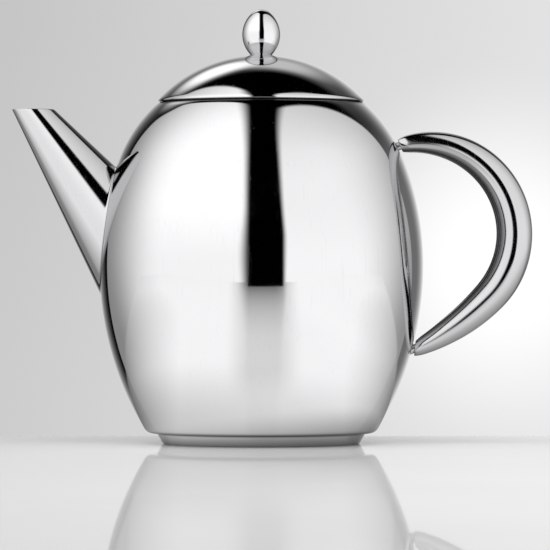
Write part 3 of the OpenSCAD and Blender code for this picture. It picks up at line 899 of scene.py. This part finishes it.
def buildWall():
    # a sheet of cells with one round hole each; rows are staggered by half a cell
    cell = 360 / basket["round"]
    across, high, ringCount = 8, 4, 3
    verts, faces = [], []

    def corner(angle, z):
        verts.append((*onCircle(basket["radius"], angle, 360), z))
        return len(verts) - 1

    def plainBand(low, top):
        count = basket["round"] * across
        for k in range(count):
            a, b = 360 * k / count, 360 * (k + 1) / count
            faces.append((corner(a, low), corner(b, low), corner(b, top), corner(a, top)))

    mmPerDegree = basket["radius"] * pi / 180
    halfWide, halfHigh = cell / 2 * mmPerDegree, basket["pitch"] / 2
    border = ([(-halfWide + 2 * halfWide * i / across, -halfHigh) for i in range(across)]
              + [(halfWide, -halfHigh + 2 * halfHigh * i / high) for i in range(high)]
              + [(halfWide - 2 * halfWide * i / across, halfHigh) for i in range(across)]
              + [(-halfWide, halfHigh - 2 * halfHigh * i / high) for i in range(high)])
    start = degrees(atan2(border[0][1], border[0][0]))
    count = len(border)
    circle = arc(0, 0, basket["hole"], start, start + 360, count + 1)[:-1]
    firstRow = basketZ + basket["floorLip"] + basket["pitch"]
    for row in range(basket["rows"]):
        z = firstRow + row * basket["pitch"]
        shift = (row + 1) % 2 * cell / 2
        for k in range(basket["round"]):
            centre = shift + cell * k
            loops = []
            for ring in range(ringCount + 1):
                share = ring / ringCount
                loops.append([corner(centre + (c[0] + (b[0] - c[0]) * share) / mmPerDegree,
                                     z + c[1] + (b[1] - c[1]) * share) for b, c in zip(border, circle)])
            for inner, outer in zip(loops, loops[1:]):
                for i in range(count):
                    n = (i + 1) % count
                    faces.append((inner[i], outer[i], outer[n], inner[n]))
    plainBand(basketZ, firstRow - halfHigh)
    plainBand(firstRow + (basket["rows"] - 0.5) * basket["pitch"], mouthZ - basket["topGap"])
    sheet = addMesh("basketWall", verts, faces)
    thick = sheet.modifiers.new("sheet", "SOLIDIFY")
    thick.thickness = basket["sheet"] * mm
    thick.offset = -1
    punched = sheet.modifiers.new("punched", "BEVEL")
    punched.width = basket["punchRound"] * mm
    punched.segments = 2
    punched.limit_method = "ANGLE"
    punched.angle_limit = radians(basket["punchAngle"])
    bakeModifiers(sheet, basket["crease"])
    settle(sheet, "basket", "basket_steel", basketSteel, "infuser_wall")


def buildFloor():
    # punched disc with a turned-up lip
    sheet, lipZ = basket["sheet"], basketZ + basket["floorLip"]
    edge, outer, inner = basketIn - 1.5 * sheet, basketIn - basket["floorGap"], basketIn - sheet
    segments, sides = 120, 20
    flat, loops = [], []

    def ring(cx, cy, r, count):
        loops.append(list(range(len(flat), len(flat) + count)))
        for x, y in (onCircle(r, k, count) for k in range(count)):
            flat.append(Vector((cx + x, cy + y)))

    ring(0, 0, edge, segments)
    centres = [Vector(onCircle(number * basket["ringPitch"], k, basket["ringHoles"] * number))
               for number in range(1, basket["rings"] + 1) for k in range(basket["ringHoles"] * number)]
    for centre in centres:
        ring(*centre, basket["hole"], sides)
    edges = [pair for loop in loops for pair in zip(loop, loop[1:] + loop[:1])]
    points, _, cells, source, _, _ = delaunay_2d_cdt(flat, edges, [], 0, 1e-6)
    order = {s: i for i, group in enumerate(source) for s in group}
    # cells with their middle in a hole fall out
    reach = basket["hole"] * basket["inHole"]
    kept = []
    for face in cells:
        middle = sum((points[i] for i in face), Vector((0, 0))) / len(face)
        if all((middle - c).length > reach for c in centres):
            kept.append(tuple(face))
    total = len(points)
    verts = [(*p, z) for z in (basketZ, basketZ + sheet) for p in points]
    faces = kept + [tuple(total + i for i in face[::-1]) for face in kept]
    lower = [[order[i] for i in loop] for loop in loops]
    upper = [[total + i for i in loop] for loop in lower]
    for low, high in zip(lower[1:], upper[1:]):
        faces += bridge(low, high)
    outerBend, innerBend = basket["floorRounds"]
    turned = rounded([(edge, basketZ, 0), (outer, basketZ, outerBend), (outer, lipZ, basket["lipRound"]),
                      (inner, lipZ, basket["lipRound"]), (inner, basketZ + sheet, innerBend),
                      (edge, basketZ + sheet, 0)])
    previous = lower[0]
    for r, z in turned[1:-1]:
        current = list(range(len(verts), len(verts) + segments))
        verts += [(*onCircle(r, k, segments), z) for k in range(segments)]
        faces += bridge(previous, current)
        previous = current
    faces += bridge(previous, upper[0])
    piece = addMesh("basketFloor", verts, faces, basket["crease"])
    settle(piece, "basket", "basket_steel", basketSteel, "infuser_floor")


buildRim()
buildWall()
buildFloor()
print("tea basket punched and rolled")


# pieces that stay as packed
for node, material in (("spout_sleeve", turnedSteel), ("handle_upper_stud", weldSteel),
                       ("handle_lower_stud", weldSteel), ("knob_screw", fastenerSteel),
                       ("knob_washer", fastenerSteel)):
    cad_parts[node].data.materials.clear()
    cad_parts[node].data.materials.append(material)
print("small fittings finished")


# table: pale and glossy, its far edge just behind the pot, with a soft light over its front
table = {
    "behind": 86.0, "front": 660.0, "half": 1600.0, "grid": (17, 13), "fade": 22.0,
    "tone": 0.88, "cloud": 0.01, "cloudEdges": (0.3, 0.7),
    "gloss": 0.7, "ior": 1.45, "rough": 0.02, "coat": 0.97,
    "lamp": 3.0, "lampHeight": 700.0, "lampAhead": 330.0, "lampSize": 600.0,
    # painted light that the polished metal sees of it, as the table glows only for glossy rays; a
    # painted shadow is its place, two distances and its darkest share
    "glow": (150.0, 700.0, 0.6, 0.82), "fallOff": 0.7, "rightSide": (60.0, 150.0), "rightGlow": 0.14,
    "least": 0.12, "most": (0.04, 1.03), "nearest": 10.0,
    "shadows": ((0.0, 36.0, 45.0, 0.05), (8.0, 36.0, 62.0, 0.35), (-12.0, 30.0, 110.0, 0.6)),
    # a painted reflection of the dark slot: its edges are bearings from the pot, and its depth grows
    # with the distance
    "slot": ((-0.42, -0.12), (0.5, 0.15)), "slotNear": (60.0, 100.0, 0.0, 0.24),
    "slotFar": (150.0, 600.0, 0.0, 0.6), "core": ((-0.23, -0.14), (0.31, 0.25)), "coreFrom": (490.0, 550.0),
}


def tableGlow(tree, where, ahead, aside):
    # painted light: dim behind the pot, painted shadow round its foot and a painted reflection of the
    # dark slot before the camera
    spread = vector(tree, "DISTANCE", where, (0, 0, 0))
    facing = calc(tree, "DIVIDE", ahead, calc(tree, "MAXIMUM", spread, table["nearest"] * mm))
    glow = calc(tree, "MULTIPLY_ADD", facing, table["fallOff"], easeMm(tree, spread, *table["glow"]))
    rightSide = easeMm(tree, aside, *table["rightSide"])
    glow = calc(tree, "MULTIPLY_ADD", rightSide, table["rightGlow"], glow)
    glow = calc(tree, "MINIMUM", calc(tree, "MAXIMUM", glow, table["least"]),
                calc(tree, "MULTIPLY_ADD", rightSide, *table["most"]))
    for middle, start, end, least in table["shadows"]:
        gap = vector(tree, "DISTANCE", where, rightDir * middle * mm)
        glow = product(tree, glow, easeMm(tree, gap, start, end, least))
    bearing = calc(tree, "DIVIDE", aside, calc(tree, "MAXIMUM", ahead, table["nearest"] * mm))
    slot, core = (product(tree, *(ease(tree, bearing, *edge) for edge in table[name]))
                  for name in ("slot", "core"))
    shade = calc(tree, "ADD", easeMm(tree, ahead, *table["slotNear"]),
                 easeMm(tree, ahead, *table["slotFar"], "LINEAR"))
    shade = calc(tree, "MAXIMUM", product(tree, slot, shade),
                 product(tree, core, easeMm(tree, ahead, *table["coreFrom"])))
    return product(tree, glow, calc(tree, "SUBTRACT", 1.0, shade))


def buildTable():
    columns, rows = table["grid"]
    verts = [rightDir * side + towardDir * forward
             for forward in np.linspace(-table["behind"], table["front"], rows)
             for side in np.linspace(-table["half"], table["half"], columns)]
    starts = [j * columns + i for j in range(rows - 1) for i in range(columns - 1)]
    top = addMesh("tableTop", verts, [(a, a + 1, a + columns + 1, a + columns) for a in starts])
    if top.data.polygons[0].normal.z < 0:
        top.data.flip_normals()
    material = bpy.data.materials.new("tableTop")
    material.use_nodes = True
    tree = material.node_tree
    tree.nodes.clear()

    def mix(share, first, second):
        node = addNode(tree, "MixShader", Fac=share)
        feed(tree, node.inputs[1], first.outputs[0])
        feed(tree, node.inputs[2], second.outputs[0])
        return node

    where = addNode(tree, "TexCoord").outputs["Object"]
    ahead = along(tree, where, towardDir)
    aside = along(tree, where, rightDir)
    cloud = addNode(tree, "TexNoise", Vector=where, Scale=9.0, Detail=2.0)
    tone, shift = table["tone"], table["cloud"]
    matt = addNode(tree, "BsdfDiffuse",
                   Color=ease(tree, cloud.outputs[0], *table["cloudEdges"], tone - shift, tone + shift))
    lightPath = addNode(tree, "LightPath").outputs
    strength, second = studio["strength"], studio["second"]
    strength = ease(tree, lightPath["Glossy Depth"], 1.0, 2.0, strength, strength * second)
    glow = tableGlow(tree, where, ahead, aside)
    # the glow is painted light: the table is no lamp, yet glows for glossy rays
    light = addNode(tree, "Emission", Strength=product(tree, glow, strength))
    # the coat's reflection in the metal is no second reflection
    coat = ease(tree, lightPath["Is Glossy Ray"], 0.0, 1.0, table["coat"], table["coat"] / second)
    gloss = addNode(tree, "BsdfGlossy", Color=coat, Roughness=table["rough"])
    fresnel = addNode(tree, "Fresnel", IOR=table["ior"]).outputs[0]
    under = mix(lightPath["Is Glossy Ray"], matt, light)
    coated = mix(product(tree, fresnel, table["gloss"]), under, gloss)
    edge = easeMm(tree, ahead, -table["behind"], table["fade"] - table["behind"])
    whole = mix(edge, addNode(tree, "BsdfTransparent"), coated)
    addNode(tree, "OutputMaterial", Surface=whole.outputs[0])
    top.data.materials.append(material)
    lampData = bpy.data.lights.new("tableLamp", "AREA")
    lampData.energy = table["lamp"]
    lampData.size = table["lampSize"] * mm
    lamp = bpy.data.objects.new("tableLamp", lampData)
    lamp.location = (towardDir * table["lampAhead"] + upDir * table["lampHeight"]) * mm
    lamp.visible_glossy = False
    lamp.visible_camera = False
    scene.collection.objects.link(lamp)


buildTable()
print("table laid")
